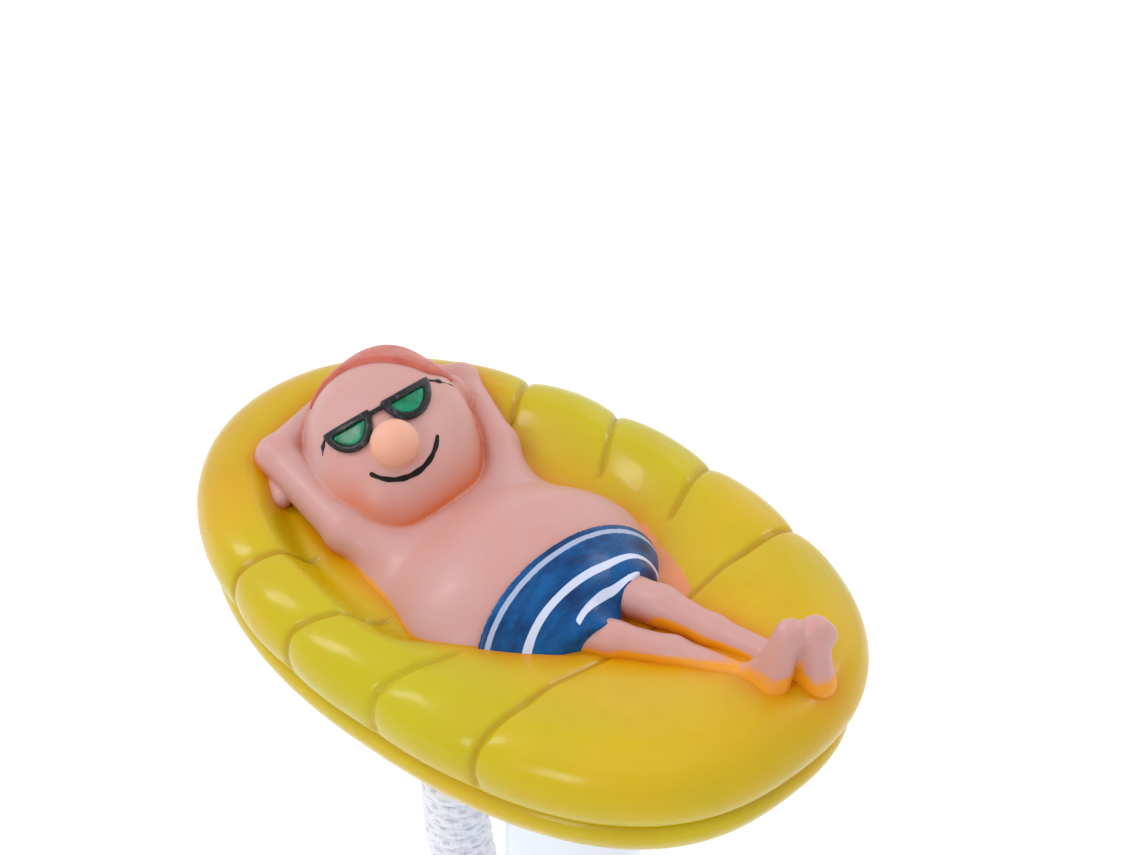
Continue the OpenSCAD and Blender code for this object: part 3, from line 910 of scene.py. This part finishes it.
def make_raft(material):
    raft, crease_shade = raft_mesh()
    p = vertices_mm(raft)
    q = p - BASE
    figure = np.minimum(body(p), trunks(p))
    height = smooth_step(q[:, 2], 18, 20)
    beside = np.exp(-np.maximum(figure, 0) / 2.6) * height
    head_end = smooth_step(q[:, 0], 24, 44) * smooth_step(np.abs(q[:, 1]), 34, 18) * height * 0.35
    hip = limb(p, on_raft(-7, -18.6, 23), on_raft(-23, -10.8, 22.5), 1.6, 1.2)
    armpit = limb(p, on_raft(14, -19, 22.5), on_raft(24, -21, 22.5), 0.6, 0.6)
    bare = smooth_step(np.minimum(hip, armpit), 2.2, 0.0) * height
    near_side = np.exp(-(((q[:, 0] + 8) / 22) ** 2)) * smooth_step(q[:, 1], 18, 30)
    far_side = np.exp(-(((q[:, 0] - 12) / 26) ** 2)) * smooth_step(q[:, 1], -22, -33)
    # The crease attribute is painted shade along the seam creases.
    paint(raft, crease=crease_shade, beside_figure=np.maximum(beside, head_end), bare_vinyl=bare,
          green_vinyl=0.6 * np.maximum(near_side, 0.8 * far_side) * smooth_step(q[:, 2], 12, 16))
    raft.data.materials.append(material)
    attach(raft, "float")
    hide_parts("float_raft")
    make_socket_lip(material)


def make_socket_lip(material):
    """The moulded ring round the socket, just above the collar."""
    profile = [(8.06, 0.8), (8.06, -0.45), (8.3, -0.6), (10.8, -0.6), (11.2, -0.3), (11.5, 0.3), (12.6, 0.8)]
    turns = 96
    angle = np.linspace(0, 2 * np.pi, turns, endpoint=False)
    rings = [np.stack([r * np.cos(angle), r * np.sin(angle), np.full(turns, z - DRAUGHT)], 1)
             for r, z in profile]
    grid = np.arange(len(profile) * turns).reshape(-1, turns)
    below = np.roll(grid, -1, axis=0)
    quads = np.stack([grid, below, np.roll(below, -1, 1), np.roll(grid, -1, 1)], -1).reshape(-1, 4)
    lip = mesh_object("socket_lip", np.vstack(rings), quads)
    lip.data.materials.append(material)
    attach(lip, "float")


# --- Tether ------------------------------------------------------------------------

CORD = 2.7
# The route from the knot through the lug and down to the hank, as in the CAD model
TETHER = [
    (40, 0, -14), (37, 0, -14), (34, 0, -14), (31, 0, -14), (28.5, 0, -14.2), (26, 0, -15),
    (23.8, 0, -16.8), (22.2, 0, -19.2), (21.2, 0, -22.5), (20.7, 0, -26), (20.7, 0, -30),
    (21, 0, -34), (21.8, 0, -38), (22.9, 0, -42), (24.2, 0, -45.2), (25.6, 0, -48),
]
HANK = [(29.4, -41), (28.8, -50), (28.2, -59), (26.6, -67), (24, -75.5), (20.8, -82), (18.8, -88)]
CORE = 1.4
WRAP = CORE + CORD * 1.12
WRAPS = 12
# How far down the hank, from 0 to 1, the strands and the wraps run
STRANDS_SPAN = (0.10, 0.93)
WRAPS_SPAN = (0.17, 0.80)
HANK_SAMPLES = 200


def hank_axis(t):
    """(point, side, along) of the hank's middle line at t from 0, top, to 1, bottom."""
    line = spline([(x, 0, z) for x, z in HANK], HANK_SAMPLES)
    t = np.clip(np.asarray(t, float), 0, 1) * (HANK_SAMPLES - 1)
    point = np.stack([np.interp(t, np.arange(HANK_SAMPLES), line[:, k]) for k in range(3)], -1)
    slope = np.gradient(line, axis=0)
    slope /= np.linalg.norm(slope, axis=1)[:, None]
    along = np.stack([np.interp(t, np.arange(HANK_SAMPLES), slope[:, k]) for k in range(3)], -1)
    side = np.stack([-along[..., 2], np.zeros_like(t), along[..., 0]], -1)
    return point, side, along


def hank_strand(t, across, deep):
    """Points of one strand inside the wraps, set across and deep of the hank's middle line."""
    point, side, _ = hank_axis(t)
    return point + side * across + np.array([0, 1, 0]) * deep


def half_turn(start, end, along, count=9):
    """A loop from start round to end, bulging towards along."""
    middle, arm = (start + end) / 2, (start - end) / 2
    reach = along * np.linalg.norm(arm) * 1.15
    angle = np.linspace(0, np.pi, count)[1:-1, None]
    return middle + arm * np.cos(angle) + reach * np.sin(angle)


def tether_route():
    """The whole cord: knot, lug, fall, four strands up and down the core, the wraps and the free end."""
    corners = [(CORE, CORE), (-CORE, CORE), (-CORE, -CORE), (CORE, -CORE)]
    line = [np.array(TETHER[:-1], float)]
    down = np.linspace(*STRANDS_SPAN, 12)
    up = down[::-1]
    ends = []
    for k, (across, deep) in enumerate(corners):
        run = hank_strand(down if k % 2 == 0 else up, across, deep)
        if ends:
            _, _, along = hank_axis(1.0 if k % 2 else 0.0)
            line.append(half_turn(ends[-1], run[0], along if k % 2 else -along))
        line.append(run)
        ends.append(run[-1])
    turns = np.linspace(0, WRAPS, WRAPS * 22 + 1)
    t = WRAPS_SPAN[0] + (WRAPS_SPAN[1] - WRAPS_SPAN[0]) * turns / WRAPS
    angle = 2 * np.pi * turns + 0.6
    point, side, _ = hank_axis(t)
    taper = np.where(t > 0.7, 1 - (t - 0.7) * 0.9, 1)[:, None]
    wraps = point + side * (WRAP * np.cos(angle))[:, None] * taper \
        + np.array([0, 1, 0]) * (WRAP * np.sin(angle))[:, None] * taper
    _, _, along = hank_axis(0.0)
    line.append(half_turn(ends[-1], wraps[0], -along))
    line.append(wraps)
    last = wraps[-1]
    line.append(np.array([last + (1.6, -1.2, -0.3), last + (4.2, -1.6, 0.2), last + (7.0, -1.0, 1.4)]))
    return resample(spline(np.vstack(line), 2400), 2400)


def braided_tube(name, line, diameter, sides=20):
    """A tube swept along line whose surface is a braid of strands that pass over and under."""
    tangent = np.gradient(line, axis=0)
    tangent /= np.linalg.norm(tangent, axis=1)[:, None]
    across = [unit(np.cross(tangent[0], (0.1, 1.0, 0.2)))]
    for t in tangent[1:]:
        across.append(unit(across[-1] - t * (across[-1] @ t)))
    across = np.array(across)
    third = np.cross(tangent, across)
    along = np.concatenate([[0], np.cumsum(np.linalg.norm(np.diff(line, axis=0), axis=1))])
    angle = np.linspace(0, 2 * np.pi, sides, endpoint=False)
    s, a = np.meshgrid(along, angle, indexing="ij")
    pitch, strands = 1.5 * diameter, 4
    one = np.cos(strands * a + 2 * np.pi * s / pitch)
    other = np.cos(strands * a - 2 * np.pi * s / pitch)
    relief = np.maximum(one, other)
    radius = diameter / 2 * (0.93 + 0.08 * relief)
    verts = line[:, None] + across[:, None] * (radius * np.cos(a))[..., None] \
        + third[:, None] * (radius * np.sin(a))[..., None]
    grid = np.arange(len(line) * sides).reshape(len(line), sides)
    after = np.roll(grid, -1, axis=1)
    quads = np.stack([grid[:-1], grid[1:], after[1:], after[:-1]], -1).reshape(-1, 4)
    faces = [list(f) for f in quads] + [list(grid[0]), list(grid[-1][::-1])]
    mesh = bpy.data.meshes.new(name)
    mesh.from_pydata((verts.reshape(-1, 3) * MM).tolist(), [], [[int(i) for i in f] for f in faces])
    mesh.shade_smooth()
    piece = bpy.data.objects.new(name, mesh)
    bpy.context.collection.objects.link(piece)
    # This mask is painted shade in the braid's valleys, where strands pass under.
    paint(piece, valley=smooth_step(relief.ravel(), 0.1, -0.4) * 0.45)
    return piece


def knot_route():
    """A stopper knot drawn tight beyond the lug: a small overhand loop, then the tail."""
    start = np.array(TETHER[0], float)
    t = np.linspace(0, 2 * np.pi * 1.9, 60)
    winding = np.stack([2.6 + 0.45 * t / np.pi + 0.9 * np.cos(1.5 * t), 1.7 * np.sin(t), 1.7 * np.cos(t)], 1)
    tail = np.array([(7.2, -0.4, 0.4), (9.0, -0.2, -0.3), (11.0, 0.1, -1.0)])
    return start + spline(np.vstack([[(0, 0, 0), (1.2, 0, 0.6)], winding, tail]), 260)


def make_tether(material):
    line = tether_route()
    cord = braided_tube("tether", line, CORD)
    knot = braided_tube("tether_stopper_knot", knot_route(), CORD * 0.92)
    for piece, nodes in ((cord, ("tether_cord", "tether_hank")), (knot, ("tether_knot",))):
        piece.data.materials.append(material)
        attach(piece, "float")
        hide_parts(*nodes)


# --- Scale -------------------------------------------------------------------------

WINDOW_TURN = math.radians(6.5)
ZERO_HEIGHT = -125.5
PER_DEGREE = 1.37
PRINT_LIFT = 0.02
INK_THICK = 0.03
CARD_FRONT = 3.0
STEM_FRONT = 5.6
STEM_LO, STEM_HI = box_mm("glass_thermometer")
STEM_MIDDLE = float(((STEM_LO + STEM_HI) / 2)[0] - math.sin(WINDOW_TURN) * STEM_FRONT)
STEM_RIGHT = STEM_MIDDLE + 2.1
STEM_LEFT = STEM_MIDDLE - 2.1


def window_frame(across, out, height):
    """A point in the part's frame from one in the window's turned frame: across, towards it, up."""
    c, s = math.cos(WINDOW_TURN), math.sin(WINDOW_TURN)
    return np.array([across * c + out * s, across * s - out * c, height])


def make_lettering(ink):
    for degrees in range(0, 51, 10):
        lettering(f"celsius_{degrees}", str(degrees), 2.6, 3.5, ZERO_HEIGHT + degrees * PER_DEGREE, ink)
    for degrees in range(30, 121, 10):
        height = ZERO_HEIGHT + (degrees - 32) / 1.8 * PER_DEGREE
        lettering(f"fahrenheit_{degrees}", str(degrees), 1.7, -4.1, height, ink)
    lettering("celsius_letter", "C", 4.2, 3.2, ZERO_HEIGHT + 50 * PER_DEGREE + 7.4, ink)
    lettering("fahrenheit_letter", "F", 3.0, -3.4, ZERO_HEIGHT + 50 * PER_DEGREE + 8.6, ink)


def lettering(name, words, size, across, height, ink):
    """Printed characters on the card, as thin raised ink."""
    curve = bpy.data.curves.new(name, "FONT")
    curve.body = words
    curve.size = size * MM * 1.35
    curve.extrude = INK_THICK / 2 * MM
    curve.offset = 0.05 * MM
    curve.align_x, curve.align_y = "CENTER", "CENTER"
    piece = bpy.data.objects.new(name, curve)
    bpy.context.collection.objects.link(piece)
    piece.location = Vector(window_frame(across, CARD_FRONT + PRINT_LIFT + INK_THICK / 2, height)) * MM
    piece.rotation_euler = (math.pi / 2, 0, WINDOW_TURN)
    curve.materials.append(ink)
    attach(piece, "thermometer")


def make_ticks(ink):
    """The graduations: a dash every 2 degrees Celsius, longer every 10, and finer ones for Fahrenheit."""
    verts, faces = [], []

    def dash(left, right, height, thick):
        corners = [
            window_frame(x, CARD_FRONT + PRINT_LIFT + lift, height + z)
            for lift in (0, INK_THICK)
            for x, z in ((left, -thick), (right, -thick), (right, thick), (left, thick))
        ]
        base = len(verts)
        verts.extend(corners)
        for face in ((0, 1, 2, 3), (7, 6, 5, 4), (0, 4, 5, 1), (1, 5, 6, 2), (2, 6, 7, 3), (3, 7, 4, 0)):
            faces.append([base + i for i in face])

    for degrees in range(0, 51, 2):
        long = degrees % 10 == 0
        dash(STEM_RIGHT, STEM_RIGHT + (1.25 if long else 0.85), ZERO_HEIGHT + degrees * PER_DEGREE,
             0.2 if long else 0.16)
    for degrees in range(30, 123, 2):
        long = degrees % 10 == 0
        height = ZERO_HEIGHT + (degrees - 32) / 1.8 * PER_DEGREE
        dash(STEM_LEFT - (0.9 if long else 0.55), STEM_LEFT, height, 0.1)
    ticks = mesh_object("graduations", verts, faces, smooth=False)
    ticks.data.materials.append(ink)
    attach(ticks, "thermometer")


# --- Spirit column -------------------------------------------------------------------


def make_spirit_column(material):
    """The spirit in the stem, as a rod with vertices at its ends only.
    """
    low, high = (np.array(corner, float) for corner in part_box("spirit_column"))
    middle, radius, sides = (low + high) / 2, (high[0] - low[0]) / 2, 24
    angle = np.linspace(0, 2 * np.pi, sides, endpoint=False)
    ring = np.stack([middle[0] + radius * np.cos(angle), middle[1] + radius * np.sin(angle)], 1)
    verts = [(x, y, z) for z in (low[2], high[2]) for x, y in ring]
    faces = [(k, (k + 1) % sides, (k + 1) % sides + sides, k + sides) for k in range(sides)]
    faces += [tuple(range(sides))[::-1], tuple(range(sides, 2 * sides))]
    mesh = bpy.data.meshes.new("spirit_in_stem")
    mesh.from_pydata(verts, [], faces)
    mesh.materials.append(material)
    piece = bpy.data.objects.new("spirit_in_stem", mesh)
    bpy.context.collection.objects.link(piece)
    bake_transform(piece)
    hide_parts("spirit_column")


# --- CAD pieces that stay ------------------------------------------------------------


def finish_cad_pieces(raft_vinyl, spirit):
    white = moulded_material("tube_white", tint(232, 238, 252), tint(214, 224, 246), 0.28, 0.25)
    blue = moulded_material("royal_blue", tint(12, 66, 168), tint(6, 44, 132), 0.3, 0.3)
    inner = moulded_material("inner_white", tint(214, 214, 222), tint(196, 196, 206), 0.45, 0.0)
    steel = metal_material("clip_steel", (0.72, 0.72, 0.74, 1), (0.5, 0.5, 0.53, 1), 0.22, 0.36,
                           (1.0, 1.0, 0.1))
    iron = metal_material("ballast_iron", (0.3, 0.3, 0.31, 1), (0.14, 0.13, 0.13, 1), 0.5, 0.75,
                          (1.0, 1.0, 1.0))
    rubber = rubber_material()
    looks = {
        "immersion_tube": white, "neck_collar": blue, "end_cap": blue, "window_lens": window_material(),
        "scale_plate": scale_material(), "plate_holder_upper": inner, "plate_holder_lower": inner,
        "glass_thermometer": glass_material(), "bulb_spirit": spirit,
        "spirit_meniscus": spirit, "stem_clip_upper": steel, "stem_clip_lower": steel,
        "neck_seal": rubber, "cap_seal": rubber, "ballast_weight": iron, "tether_lug": raft_vinyl,
    }
    for node, material in looks.items():
        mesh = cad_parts[node].data
        for k in range(max(len(mesh.materials), 1)):
            if mesh.materials:
                mesh.materials[k] = material
            else:
                mesh.materials.append(material)


# --- Studio --------------------------------------------------------------------------


def make_floor():
    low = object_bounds()[0]
    bpy.ops.mesh.primitive_plane_add(size=12, location=(0, 0, low[2] - 0.0002))
    floor = bpy.context.object
    floor.name = "floor"
    floor.data.materials.append(floor_material())


def area_light(name, place, target, size, power):
    data = bpy.data.lights.new(name, "AREA")
    data.shape = "RECTANGLE"
    data.size, data.size_y = size
    data.energy = power
    light = bpy.data.objects.new(name, data)
    light.location = place
    light.rotation_euler = (Vector(target) - Vector(place)).to_track_quat("-Z", "Y").to_euler()
    bpy.context.collection.objects.link(light)


def make_lights():
    target = BASE * MM
    area_light("left_softbox", (-0.1, 1.1, 0.75), target, (0.3, 0.45), 2.6)
    area_light("head_softbox", (0.85, 0.4, 0.8), target, (0.25, 0.5), 2.6)
    area_light("right_softbox", (-0.3, -0.95, 0.85), target, (0.4, 0.3), 2.0)
    area_light("front_fill", (0.3, -1.2, 0.5), target, (1.0, 1.0), 1.2)
    area_light("top_light", (0.2, 0.1, 1.5), target, (1.4, 1.4), 1.8)
    world = bpy.data.worlds.new("studio")
    world.use_nodes = True
    world.node_tree.nodes["Background"].inputs["Color"].default_value = (1, 1, 1, 1)
    world.node_tree.nodes["Background"].inputs["Strength"].default_value = 0.84
    bpy.context.scene.world = world
    bpy.context.scene.view_settings.view_transform = "Standard"


# --- Everything ----------------------------------------------------------------------


def build():
    make_tether(cord_material())
    vinyl = raft_material()
    make_raft(vinyl)
    make_body(skin_material())
    make_hair(hair_material())
    make_trunks(trunks_material())
    make_face(frame_material(), lens_material(), smile_material())
    spirit = spirit_material()
    make_spirit_column(spirit)
    finish_cad_pieces(vinyl, spirit)
    ink = ink_material()
    make_ticks(ink)
    make_lettering(ink)
    make_floor()
    make_lights()


build()
